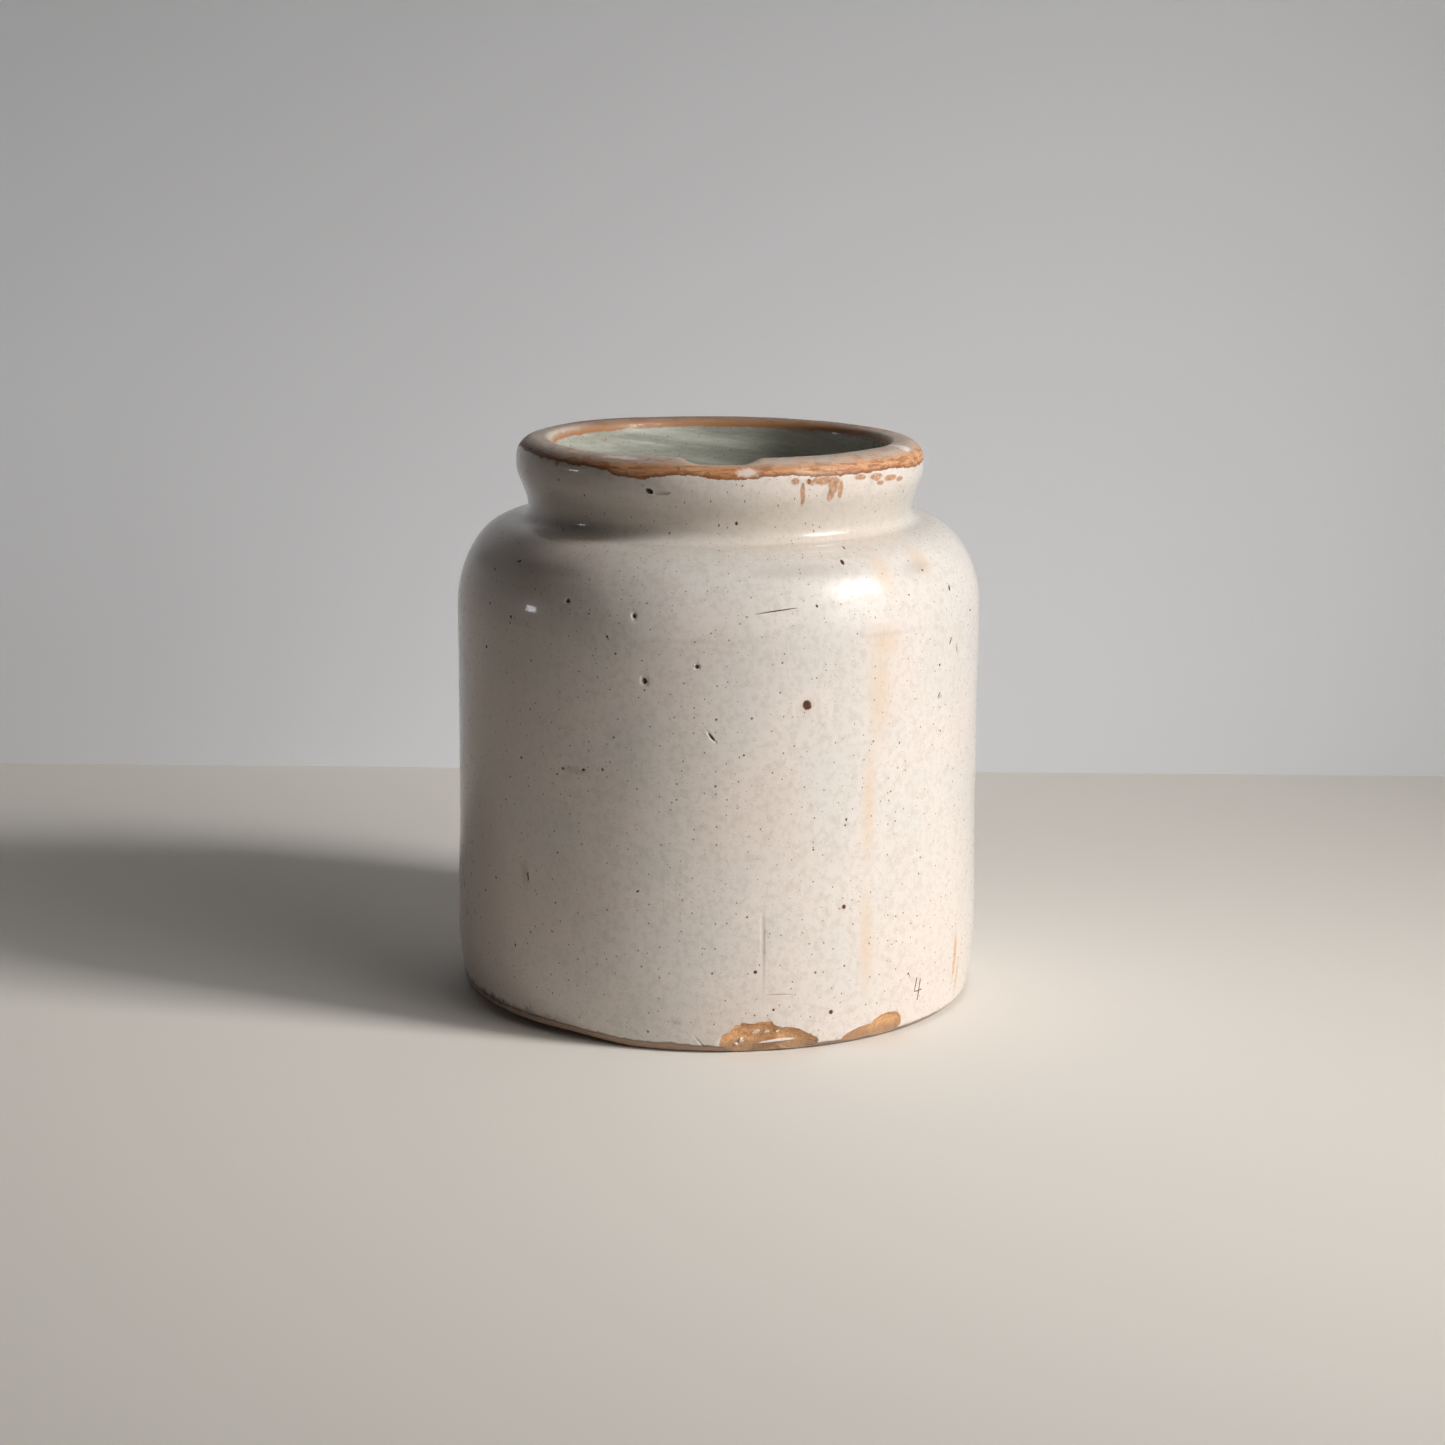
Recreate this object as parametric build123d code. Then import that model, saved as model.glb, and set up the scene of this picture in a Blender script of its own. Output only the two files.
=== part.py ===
from build123d import *
import os

# Stoneware butter crock: one thrown and fired pot, a body of revolution about Z.
# Millimetres, +Z up. The origin is on the axis, in the plane of the flat base.

# Overall sizes
height = 217.0            # flat base to the top of the lip
body_radius = 101.8       # the wall where it meets the shoulder

# Outside of the body, from the base up
foot_inset = 1.4          # the foot of the wall stands in from the body's radius
foot_round = 4.0          # rounding between the flat base and the wall
foot_lean = 6.0           # degrees that the wall leans outwards above the foot
swell = 0.8               # a low, faint bulge that stands out from the body's radius
swell_height = 30.0
waist = 0.4               # a faint waist above it, drawn in from the body's radius
waist_height = 78.0

# Mouth, neck and lip
mouth_radius = 64.5       # straight throat that a cover or a bung drops into
neck_wall = 9.8           # thickness of the neck at its narrowest
neck_length = 31.0        # foot of the neck to the top of the lip
neck_fillet = 4.5         # hollow curve between the shoulder and the neck
lip_thickness = 14.3      # the rolled lip, from the throat to its outside
lip_side = 2.5            # upright stretch at the widest part of the lip
lip_outer_round = 7.5     # rounding of the lip's outer edge
lip_inner_round = 3.5     # rounding of the lip's inner edge

# Shoulder and inside
shoulder_rise = 35.0      # height of the domed shoulder
wall = 8.5                # thickness of the body and of the shoulder
floor = 11.0              # thickness of the bottom
throat_fillet = 4.0       # rounding where the throat opens into the shoulder
floor_fillet = 16.0       # curve from the floor up into the wall

# Sizes that follow from the ones above
foot_radius = body_radius - foot_inset
neck_radius = mouth_radius + neck_wall
lip_radius = mouth_radius + lip_thickness
neck_foot = height - neck_length
shoulder_foot = neck_foot - shoulder_rise
throat_foot = neck_foot - wall + throat_fillet
throat_top = height - lip_inner_round


def draw_body():
    """Foot, wall and domed shoulder, from the edge of the flat base upwards."""
    foot = CenterArc(
        center=(foot_radius - foot_round, foot_round),
        radius=foot_round,
        start_angle=270,
        arc_size=90 - foot_lean,
    )
    upright = (0, 1)
    Spline(
        foot @ 1,
        (body_radius + swell, swell_height),
        (body_radius - waist, waist_height),
        (body_radius, shoulder_foot),
        tangents=(foot % 1, upright, upright, upright),
    )
    EllipticalCenterArc(
        center=(neck_radius + neck_fillet, shoulder_foot),
        x_radius=body_radius - neck_radius - neck_fillet,
        y_radius=shoulder_rise,
        start_angle=0,
        arc_size=90,
    )
    return foot @ 0


def draw_neck_and_lip():
    """Hollow neck, flare of the lip, and the lip's rounded top."""
    hollow = CenterArc(
        center=(neck_radius + neck_fillet, neck_foot + neck_fillet),
        radius=neck_fillet,
        start_angle=270,
        arc_size=-90,
    )
    lip_top = height - lip_outer_round
    lip_under = lip_top - lip_side
    Spline(hollow @ 1, (lip_radius, lip_under), tangents=((0, 1), (0, 1)))
    Line((lip_radius, lip_under), (lip_radius, lip_top))
    outer = CenterArc(
        center=(lip_radius - lip_outer_round, lip_top),
        radius=lip_outer_round,
        start_angle=0,
        arc_size=90,
    )
    inner = CenterArc(
        center=(mouth_radius + lip_inner_round, throat_top),
        radius=lip_inner_round,
        start_angle=90,
        arc_size=90,
    )
    Line(outer @ 1, inner @ 0)


def draw_inside():
    """Throat, inside of the shoulder and wall, and the floor to the axis."""
    inner_radius = body_radius - wall
    Line((mouth_radius, throat_top), (mouth_radius, throat_foot))
    CenterArc(
        center=(mouth_radius + throat_fillet, throat_foot),
        radius=throat_fillet,
        start_angle=180,
        arc_size=90,
    )
    EllipticalCenterArc(
        center=(mouth_radius + throat_fillet, shoulder_foot),
        x_radius=inner_radius - mouth_radius - throat_fillet,
        y_radius=shoulder_rise - wall,
        start_angle=0,
        arc_size=90,
    )
    Line((inner_radius, shoulder_foot), (inner_radius, floor + floor_fillet))
    corner = CenterArc(
        center=(inner_radius - floor_fillet, floor + floor_fillet),
        radius=floor_fillet,
        start_angle=0,
        arc_size=-90,
    )
    Line(corner @ 1, (0, floor))


with BuildPart() as crock:
    with BuildSketch(Plane.XZ):
        with BuildLine():
            base_edge = draw_body()
            draw_neck_and_lip()
            draw_inside()
            Line((0, floor), (0, 0))
            Line((0, 0), base_edge)
        make_face()
    revolve(axis=Axis.Z)

os.makedirs("parts", exist_ok=True)
export_step(crock.part, "parts/crock.step")
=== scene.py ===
# %% [markdown]
# # A stoneware butter crock
# A crock like this is one lump of clay, thrown on a wheel, glazed, and fired hot enough to turn
# to stone. There is nothing to assemble. All of the work is in one skin: its outline, the small
# accidents of the kiln and of a century of use, and the glaze.
#
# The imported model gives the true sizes. It is loaded first, and nothing here may move it. The
# detailed pot is built in its place, in the same metres, and then stands for it.

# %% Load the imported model
import math
import random

import bpy
from mathutils import Matrix, Vector


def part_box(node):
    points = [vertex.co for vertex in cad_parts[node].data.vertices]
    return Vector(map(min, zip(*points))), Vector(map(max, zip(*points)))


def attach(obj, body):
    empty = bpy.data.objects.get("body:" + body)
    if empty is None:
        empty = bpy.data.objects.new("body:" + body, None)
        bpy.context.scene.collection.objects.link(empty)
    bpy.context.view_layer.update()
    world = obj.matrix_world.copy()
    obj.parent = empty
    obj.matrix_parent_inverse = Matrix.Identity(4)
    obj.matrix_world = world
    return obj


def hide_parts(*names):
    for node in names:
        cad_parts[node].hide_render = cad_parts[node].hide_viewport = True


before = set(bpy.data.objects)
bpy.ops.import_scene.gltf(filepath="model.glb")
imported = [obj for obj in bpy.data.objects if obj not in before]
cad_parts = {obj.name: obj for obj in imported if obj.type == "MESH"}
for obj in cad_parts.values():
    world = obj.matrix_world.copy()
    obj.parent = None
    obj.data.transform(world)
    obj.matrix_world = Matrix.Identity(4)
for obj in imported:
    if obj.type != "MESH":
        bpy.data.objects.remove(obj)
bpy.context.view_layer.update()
crock_low, crock_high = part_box("crock")
MM = 0.001
print("crock height in mm:", round((crock_high.z - crock_low.z) / MM, 1))

# %% [markdown]
# ## Camera first
# The camera fixes how every later choice is judged, so it is placed before any modelling. A long
# lens from a little over a metre away keeps the rings of the mouth and the foot flat, and it
# looks down by about twelve degrees. Distances are shares of the pot's height.

# %% Camera
height = crock_high.z - crock_low.z
lens_mm = 75.0
look_down = 12.02
camera_roll = 0.51
camera_place = Vector((0.0083, -5.353, 1.618)) * height

camera_data = bpy.data.cameras.new("camera")
camera_data.sensor_width = 36.0
camera_data.lens = lens_mm
camera = bpy.data.objects.new("camera", camera_data)
bpy.context.scene.collection.objects.link(camera)
camera.location = camera_place
aim = Matrix.Rotation(math.radians(90 - look_down), 4, "X")
camera.rotation_euler = (aim @ Matrix.Rotation(math.radians(camera_roll), 4, "Z")).to_euler()
bpy.context.scene.camera = camera
print("camera distance in mm:", round(camera.location.length / MM))

# %% [markdown]
# ## The room
# A pale glossy pot is lit like a still life: soft daylight from the right, a little in front, and
# very little else. It rolls round the body and leaves the left side in shade. A plain table ends
# at a plain wall. The wall is see-through from its back, so that the pot can also be looked at
# from behind.
#
# The glaze is a mirror as well. A small bright pane gives the hard glint on the shoulder, and a
# dim pane under it gives the soft patch below the glint. A small far window on the left puts a
# spark on the dark shoulder. The widest light and the one behind the pot are kept out of
# reflections: one softens the edge of the shade, and the other shows the back.

# %% Room materials
def new_material(name):
    material = bpy.data.materials.new(name)
    material.use_nodes = True
    return material


def flat_material(name, colour, roughness):
    material = new_material(name)
    shader = material.node_tree.nodes["Principled BSDF"]
    shader.inputs["Base Color"].default_value = (*colour, 1)
    shader.inputs["Roughness"].default_value = roughness
    return material


table_material = flat_material("pale table", (0.83, 0.79, 0.73), 0.7)
wall_material = flat_material("plain wall", (0.86, 0.875, 0.91), 0.9)
tree = wall_material.node_tree
see_through = tree.nodes.new("ShaderNodeBsdfTransparent")
side = tree.nodes.new("ShaderNodeNewGeometry")
choice = tree.nodes.new("ShaderNodeMixShader")
tree.links.new(side.outputs["Backfacing"], choice.inputs["Fac"])
tree.links.new(tree.nodes["Principled BSDF"].outputs["BSDF"], choice.inputs[1])
tree.links.new(see_through.outputs["BSDF"], choice.inputs[2])
tree.links.new(choice.outputs["Shader"], tree.nodes["Material Output"].inputs["Surface"])

# %% Table and wall
wall_behind = 1.70 * height
bpy.ops.object.select_all(action="DESELECT")
bpy.ops.mesh.primitive_plane_add(size=8, location=(0, 0, 0))
table = bpy.context.object
table.name = "table"
table.data.materials.append(table_material)
bpy.ops.mesh.primitive_plane_add(size=8, location=(0, wall_behind, 4), rotation=(math.pi / 2, 0, 0))
wall = bpy.context.object
wall.name = "wall"
wall.data.materials.append(wall_material)

# %% Lights
def pane(name, around, up, size, power, colour, spread=180, distance=1.6, aim_at=(0, -0.1, 0.1)):
    """A rectangular light. Around is counted from the camera's side, to the right, in degrees."""
    data = bpy.data.lights.new(name, "AREA")
    data.shape = "RECTANGLE"
    data.size, data.size_y = size
    data.energy = power
    data.color = colour
    data.spread = math.radians(spread)
    light = bpy.data.objects.new(name, data)
    bpy.context.scene.collection.objects.link(light)
    turn, rise = math.radians(around), math.radians(up)
    out = Vector((math.sin(turn) * math.cos(rise), -math.cos(turn) * math.cos(rise), math.sin(rise)))
    light.location = pot_middle + out * distance
    light.rotation_euler = (Vector(aim_at) - light.location).to_track_quat("-Z", "Y").to_euler()
    return light


pot_middle = Vector((0, 0, 0.55 * height))
daylight = (1.0, 0.985, 0.965)
pane("bright pane", 67, 34, (0.34, 0.26), 2.2, daylight, spread=60)
pane("dim pane", 62, 14, (0.9, 0.5), 0.5, daylight, spread=90)
softness = pane("soft light", 50, 20, (1.2, 0.9), 1.95, daylight, spread=60, aim_at=(0, -0.2, 0.08))
softness.visible_glossy = False
pane("far window", -88, 7, (0.2, 0.12), 0.7, (0.85, 0.9, 1.0), distance=2.0)
behind = pane("room behind", -150, 38, (1.6, 1.2), 0.85, (1.0, 0.93, 0.85), distance=2.2)
behind.visible_glossy = False
world = bpy.data.worlds.new("room air")
world.use_nodes = True
world.node_tree.nodes["Background"].inputs["Color"].default_value = (1.0, 0.84, 0.70, 1)
world.node_tree.nodes["Background"].inputs["Strength"].default_value = 0.012
bpy.context.scene.world = world
# The plain transform keeps the full contrast between the lit side and the shade.
bpy.context.scene.view_settings.view_transform = "Standard"

# %% [markdown]
# ## The outline
# The potter's profile comes first, as half a section: radius and height, walked from the middle
# of the base, up the outside, over the lip and down the inside to the middle of the floor. Round
# stretches are quarter ellipses, and the long faint curves are eased between a few rings.
# Sizes in millimetres are the pot's own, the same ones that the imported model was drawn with.

# %% Sizes of the section
height_mm = height / MM
swell = 0.8
body_radius = crock_high.x / MM - swell
waist = 0.4
foot_inset = 1.4
foot_round = 4.0
foot_lean = math.tan(math.radians(6))
swell_height = 30.0
waist_height = 78.0
mouth_radius = 64.5
neck_radius = mouth_radius + 9.8
neck_fillet = 4.5
neck_foot = height_mm - 31.0
shoulder_foot = neck_foot - 35.0
lip_radius = mouth_radius + 14.3
lip_side = 2.5
lip_outer_round = 7.5
lip_inner_round = 3.5
wall_thickness = 8.5
floor_thickness = 11.0
floor_fillet = 16.0
throat_fillet = 4.0
print("body radius in mm:", round(body_radius, 1))

# %% Curves of the section
ring_gap = 2.3


def steps_for(length):
    return max(2, round(length / ring_gap))


def quarter(centre, radii, start, turn=90, gap=1.0):
    """Points on part of an ellipse, without the first one. Angles are in degrees."""
    mean = (abs(radii[0]) + abs(radii[1])) / 2
    count = max(3, round(steps_for(mean * math.radians(abs(turn))) / gap))
    points = []
    for step in range(1, count + 1):
        angle = math.radians(start + turn * step / count)
        points.append((centre[0] + radii[0] * math.cos(angle), centre[1] + radii[1] * math.sin(angle)))
    return points


def eased(start, end, lean=0.0, gap=1.0):
    """Points on a curve that leaves start with that lean and arrives upright at end."""
    rise = end[1] - start[1]
    count = max(2, round(steps_for(abs(rise)) / gap))
    points = []
    for step in range(1, count + 1):
        t = step / count
        blend = t * t * (3 - 2 * t)
        bow = t * (1 - t) ** 2 * lean * rise
        points.append((start[0] + (end[0] - start[0]) * blend + bow, start[1] + rise * t))
    return points


def straight(start, end, gap=1.0):
    length = math.dist(start, end)
    count = max(1, round(steps_for(length) / gap))
    return [tuple(a + (b - a) * step / count for a, b in zip(start, end)) for step in range(1, count + 1)]


# %% Walk the section
foot_radius = body_radius - foot_inset
inner_radius = body_radius - wall_thickness
neck_start = neck_radius + neck_fillet
lip_top = height_mm - lip_outer_round
throat_foot = neck_foot - wall_thickness + throat_fillet
throat_top = height_mm - lip_inner_round
throat_start = mouth_radius + throat_fillet

section = [(0.0, 0.0)]
section += straight(section[-1], (foot_radius - foot_round, 0.0), gap=4)
section += quarter((foot_radius - foot_round, foot_round), (foot_round, foot_round), 270, 84, gap=0.5)
section += eased(section[-1], (body_radius + swell, swell_height), lean=foot_lean)
section += eased(section[-1], (body_radius - waist, waist_height))
section += eased(section[-1], (body_radius, shoulder_foot))
section += quarter((neck_start, shoulder_foot), (body_radius - neck_start, neck_foot - shoulder_foot), 0)
section += quarter((neck_start, neck_foot + neck_fillet), (neck_fillet, neck_fillet), 270, -90, gap=0.6)
section += eased(section[-1], (lip_radius, lip_top - lip_side), gap=0.8)
section += straight(section[-1], (lip_radius, lip_top))
section += quarter((lip_radius - lip_outer_round, lip_top), (lip_outer_round, lip_outer_round), 0, gap=0.6)
section += straight(section[-1], (mouth_radius + lip_inner_round, height_mm))
section += quarter(
    (mouth_radius + lip_inner_round, throat_top), (lip_inner_round, lip_inner_round), 90, gap=0.5
)
section += straight(section[-1], (mouth_radius, throat_foot), gap=1.5)
section += quarter((throat_start, throat_foot), (throat_fillet, throat_fillet), 180)
inner_shoulder = quarter(
    (throat_start, shoulder_foot),
    (inner_radius - throat_start, neck_foot - wall_thickness - shoulder_foot),
    0,
    gap=1.5,
)
section += list(reversed(inner_shoulder))[1:] + [(inner_radius, shoulder_foot)]
section += straight(section[-1], (inner_radius, floor_thickness + floor_fillet), gap=2)
section += quarter(
    (inner_radius - floor_fillet, floor_thickness + floor_fillet),
    (floor_fillet, floor_fillet),
    0,
    -90,
)
section += straight(section[-1], (0.0, floor_thickness), gap=4)
print("rings in the section:", len(section))

# %% [markdown]
# ## Throwing the pot
# A wheel turns one outline into a pot, and so does Blender's Spin. A single point is pulled along
# the section, one short extrusion at a time, which leaves a wire. Spun once round the upright
# axis it becomes the whole skin, inside and out, as one closed shell. The seam and the two poles
# are merged, and the normals are made to agree.

# %% Pull the wire and spin it
turn_steps = 288
bpy.ops.object.select_all(action="DESELECT")
bpy.ops.mesh.primitive_plane_add(size=MM, location=(0, 0, 0))
pot = bpy.context.object
pot.name = "stoneware_crock"
pot.data.name = "stoneware_crock"
bpy.ops.object.mode_set(mode="EDIT")
bpy.ops.mesh.merge(type="CENTER")
for (radius, level), (next_radius, next_level) in zip(section, section[1:]):
    move = ((next_radius - radius) * MM, 0, (next_level - level) * MM)
    bpy.ops.mesh.extrude_vertices_move(TRANSFORM_OT_translate={"value": move})
bpy.ops.mesh.select_all(action="SELECT")
bpy.ops.mesh.spin(steps=turn_steps, angle=math.tau, center=(0, 0, 0), axis=(0, 0, 1))
bpy.ops.mesh.select_all(action="SELECT")
bpy.ops.mesh.remove_doubles(threshold=0.01 * MM)
bpy.ops.mesh.normals_make_consistent(inside=False)
bpy.ops.object.mode_set(mode="OBJECT")
print("faces on the spun pot:", len(pot.data.polygons))

# %% [markdown]
# ## What the wheel and the kiln leave uneven
# No thrown pot is a perfect turning. The clay moves under the fingers and again in the fire, by a
# few tenths of a millimetre. A Displace modifier with a soft cloud pattern does this. A vertex
# group keeps it off the foot, so that the base stays flat on the table.

# %% Let the clay wander
def on_pot(angle, level, radius):
    """A point in metres from an angle in degrees, right of the front, and millimetres."""
    turn = math.radians(angle)
    return Vector((math.sin(turn) * radius, -math.cos(turn) * radius, level)) * MM


def angle_of(point):
    return math.degrees(math.atan2(point.x, -point.y))


still_height = 14.0
moved_height = 40.0
above_foot = pot.vertex_groups.new(name="above the foot")
for vertex in pot.data.vertices:
    share = (vertex.co.z / MM - still_height) / (moved_height - still_height)
    above_foot.add([vertex.index], min(1, max(0, share)), "REPLACE")


def wander(name, size_mm, amount_mm):
    clouds = bpy.data.textures.new(name, "CLOUDS")
    clouds.noise_scale = size_mm * MM
    clouds.noise_depth = 1
    push = pot.modifiers.new(name, "DISPLACE")
    push.texture = clouds
    push.texture_coords = "LOCAL"
    push.strength = amount_mm * MM
    push.mid_level = 0.5
    push.vertex_group = "above the foot"
    bpy.ops.object.modifier_apply(modifier=name)


wander("slow wander", 70, 1.3)
wander("finger wander", 22, 0.35)

# %% [markdown]
# ## Two dips
# The rim has a worn hollow at the front, on its inner edge. The foot has lifted a little on the
# left, where the base warped as it dried. Both are pulled: a few points are picked and
# moved, and proportional editing lets the clay around them follow.

# %% Pull the rim down and the foot up
def pull(chosen, move_mm, reach_mm):
    bpy.ops.object.mode_set(mode="EDIT")
    bpy.ops.mesh.select_all(action="DESELECT")
    bpy.ops.object.mode_set(mode="OBJECT")
    picked = 0
    for vertex in pot.data.vertices:
        if chosen(vertex.co):
            vertex.select = True
            picked += 1
    bpy.ops.object.mode_set(mode="EDIT")
    bpy.ops.transform.translate(
        value=Vector(move_mm) * MM,
        use_proportional_edit=True,
        proportional_edit_falloff="SMOOTH",
        proportional_size=reach_mm * MM,
    )
    bpy.ops.object.mode_set(mode="OBJECT")
    return picked


def at_worn_rim(point):
    out = math.hypot(point.x, point.y) / MM
    return abs(angle_of(point)) < 5.5 and point.z / MM > height_mm - 4 and out < mouth_radius + 4.5


def at_lifted_foot(point):
    out = math.hypot(point.x, point.y) / MM
    return -75 < angle_of(point) < -35 and point.z / MM < 2.5 and out > body_radius - 9


print("rim points:", pull(at_worn_rim, (0, 0, -4.0), 10))
foot_lift = 2.2
print("foot points:", pull(at_lifted_foot, (0, 0, foot_lift), 34))

# %% [markdown]
# ## Recipes for the finish
# Four finishes show on this pot: cream glaze outside, grey-green glaze inside, bare toasted clay
# on the rim and the base, and rough broken clay in the chips. Each is a node recipe. The small
# class below keeps a recipe readable: every method adds one node and hands back its result.
# Patterns follow Object coordinates, in metres, so they sit on the pot like real glaze.

# %% A recipe writer
class Recipe:
    def __init__(self, tree):
        self.tree = tree

    def add(self, kind, **settings):
        made = self.tree.nodes.new("ShaderNode" + kind)
        for name, value in settings.items():
            setattr(made, name, value)
        return made

    def feed(self, socket, value):
        if isinstance(value, bpy.types.NodeSocket):
            self.tree.links.new(value, socket)
        elif isinstance(value, tuple) and len(value) == 3 and socket.type == "RGBA":
            socket.default_value = (*value, 1)
        else:
            socket.default_value = value

    def math(self, operation, first, second=0.0):
        made = self.add("Math", operation=operation)
        self.feed(made.inputs[0], first)
        self.feed(made.inputs[1], second)
        return made.outputs[0]

    def ease(self, value, low, high, start=0.0, end=1.0, shape="SMOOTHSTEP"):
        """Start below low, end above high, and a smooth step between them, or a straight one."""
        made = self.add("MapRange", interpolation_type=shape)
        for name, given in zip(
            ("Value", "From Min", "From Max", "To Min", "To Max"), (value, low, high, start, end)
        ):
            self.feed(made.inputs[name], given)
        return made.outputs["Result"]

    def blend(self, share, first, second, way="MIX"):
        made = self.add("Mix", data_type="RGBA", blend_type=way)
        self.feed(made.inputs["Factor"], share)
        self.feed(made.inputs[6], first)
        self.feed(made.inputs[7], second)
        return made.outputs[2]

    def stretch(self, where, scale):
        made = self.add("Mapping")
        self.feed(made.inputs["Vector"], where)
        made.inputs["Scale"].default_value = scale
        return made.outputs["Vector"]

    def noise(self, where, size_mm, detail=2.0, rough=0.5):
        made = self.add("TexNoise")
        self.feed(made.inputs["Vector"], where)
        made.inputs["Scale"].default_value = 1 / (size_mm * MM)
        made.inputs["Detail"].default_value = detail
        made.inputs["Roughness"].default_value = rough
        return made.outputs["Fac"]

    def dots(self, flat_where, gap_mm, least_mm, most_mm, rarity):
        """Round specks of mixed size, one to a cell. A high rarity leaves most cells nearly bare."""
        cells = self.add("TexVoronoi", voronoi_dimensions="2D")
        self.feed(cells.inputs["Vector"], flat_where)
        cells.inputs["Scale"].default_value = 1 / gap_mm
        chance = self.add("SeparateColor")
        self.feed(chance.inputs[0], cells.outputs["Color"])
        share = self.math("POWER", chance.outputs[0], rarity)
        radius = self.ease(share, 0, 1, least_mm / 2 / gap_mm, most_mm / 2 / gap_mm)
        inner = self.math("MULTIPLY", radius, 0.6)
        return self.ease(cells.outputs["Distance"], inner, radius, 1, 0)


def new_group(name, takes, gives):
    """An empty node group with named sockets. A kind is Float, Vector or Color."""
    group = bpy.data.node_groups.new(name, "ShaderNodeTree")
    for title, kind in takes:
        group.interface.new_socket(name=title, in_out="INPUT", socket_type="NodeSocket" + kind)
    for title, kind in gives:
        group.interface.new_socket(name=title, in_out="OUTPUT", socket_type="NodeSocket" + kind)
    recipe = Recipe(group)
    return recipe, group.nodes.new("NodeGroupInput").outputs, group.nodes.new("NodeGroupOutput").inputs


def use_group(recipe, name, **given):
    made = recipe.add("Group", node_tree=bpy.data.node_groups[name])
    for title, value in given.items():
        recipe.feed(made.inputs[title.replace("_", " ").capitalize()], value)
    return made.outputs


# %% [markdown]
# ## Where on the pot
# Potters speak of a place on a pot as so far round and so far up. This group turns a point into
# exactly that: degrees to the right of the front, millimetres up, and millimetres out from the
# middle. Flat is the same surface unrolled like paper, for specks that must stay round.

# %% The group that finds a place
recipe, takes, gives = new_group(
    "Place on the pot",
    [],
    [("Point", "Vector"), ("Angle", "Float"), ("Up", "Float"), ("Out", "Float"), ("Flat", "Vector")],
)
point = recipe.add("TexCoord").outputs["Object"]
parts = recipe.add("SeparateXYZ")
recipe.feed(parts.inputs[0], point)
x, y, z = parts.outputs
angle = recipe.math("DEGREES", recipe.math("ARCTAN2", x, recipe.math("MULTIPLY", y, -1)))
up = recipe.math("MULTIPLY", z, 1 / MM)
square = recipe.math("ADD", recipe.math("MULTIPLY", x, x), recipe.math("MULTIPLY", y, y))
out = recipe.math("MULTIPLY", recipe.math("SQRT", square), 1 / MM)
mm_per_degree = math.radians(body_radius)
unrolled = recipe.add("CombineXYZ")
recipe.feed(unrolled.inputs[0], recipe.math("MULTIPLY", angle, mm_per_degree))
unrolled_up = recipe.math("SUBTRACT", recipe.math("ADD", up, body_radius), out)
recipe.feed(unrolled.inputs[1], unrolled_up)
for socket, value in zip(gives, (point, angle, up, out, unrolled.outputs[0])):
    recipe.feed(socket, value)
print("mm per degree:", round(mm_per_degree, 3))

# %% The group that makes one ragged patch
recipe, takes, gives = new_group(
    "Ragged patch",
    [(name, "Float") for name in ("At angle", "At height", "Half width", "Half height", "Soft", "Ragged")],
    [("Mask", "Float")],
)
place = use_group(recipe, "Place on the pot")
across = recipe.math("SUBTRACT", place["Angle"], takes["At angle"])
across = recipe.math("DIVIDE", recipe.math("MULTIPLY", across, mm_per_degree), takes["Half width"])
along = recipe.math(
    "DIVIDE", recipe.math("SUBTRACT", place["Up"], takes["At height"]), takes["Half height"]
)
reach = recipe.math("ADD", recipe.math("MULTIPLY", across, across), recipe.math("MULTIPLY", along, along))
reach = recipe.math("SQRT", reach)
grit = recipe.math("SUBTRACT", recipe.noise(place["Point"], 3.0, 3, 0.6), 0.5)
reach = recipe.math("ADD", reach, recipe.math("MULTIPLY", grit, takes["Ragged"]))
recipe.feed(gives["Mask"], recipe.ease(reach, recipe.math("SUBTRACT", 1, takes["Soft"]), 1, 1, 0))


def patch(recipe, angle, level, half_width, half_height, soft=0.4, ragged=0.8):
    made = use_group(
        recipe,
        "Ragged patch",
        at_angle=float(angle),
        at_height=float(level),
        half_width=float(half_width),
        half_height=float(half_height),
        soft=soft,
        ragged=ragged,
    )
    return made["Mask"]


def all_of(recipe, masks):
    """One mask that is on wherever any of these is."""
    total = masks[0]
    for mask in masks[1:]:
        total = recipe.math("MAXIMUM", total, mask)
    return total


# %% [markdown]
# ## Bare clay
# Where no glaze lies, the fire toasts the clay: orange where flame washed it, brown where smoke
# or a century of hands did, and almost grey on the flat of the rim. One group gives this clay to
# the rim, the base and the edge of the inside, so that they meet with no seam.

# %% The clay group
burnt = (0.10, 0.045, 0.022)
toasted = (0.54, 0.255, 0.12)
pale_clay = (0.66, 0.37, 0.20)
worn_grey = (0.47, 0.40, 0.34)
recipe, takes, gives = new_group(
    "Bare clay", [], [("Colour", "Color"), ("Roughness", "Float"), ("Height", "Float")]
)
place = use_group(recipe, "Place on the pot")
waves = recipe.noise(recipe.stretch(place["Point"], (1, 1, 5)), 14, 4, 0.55)
colour = recipe.blend(recipe.ease(waves, 0.36, 0.64), toasted, pale_clay)
mottle = recipe.noise(place["Point"], 2.2, 4, 0.65)
colour = recipe.blend(recipe.ease(mottle, 0.54, 0.72, 0, 0.65), colour, burnt)
streaks = recipe.noise(recipe.stretch(place["Point"], (1, 1, 7)), 8, 4, 0.6)
colour = recipe.blend(recipe.ease(streaks, 0.49, 0.62, 0, 0.75), colour, (0.30, 0.115, 0.045))
smoked_side = recipe.math(
    "SUBTRACT",
    recipe.ease(place["Angle"], -60, 5, 1, 0),
    recipe.ease(place["Angle"], -160, -120, 1, 0),
)
smoke = recipe.math("MULTIPLY", smoked_side, recipe.ease(waves, 0.3, 0.7, 1.0, 0.45))
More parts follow.
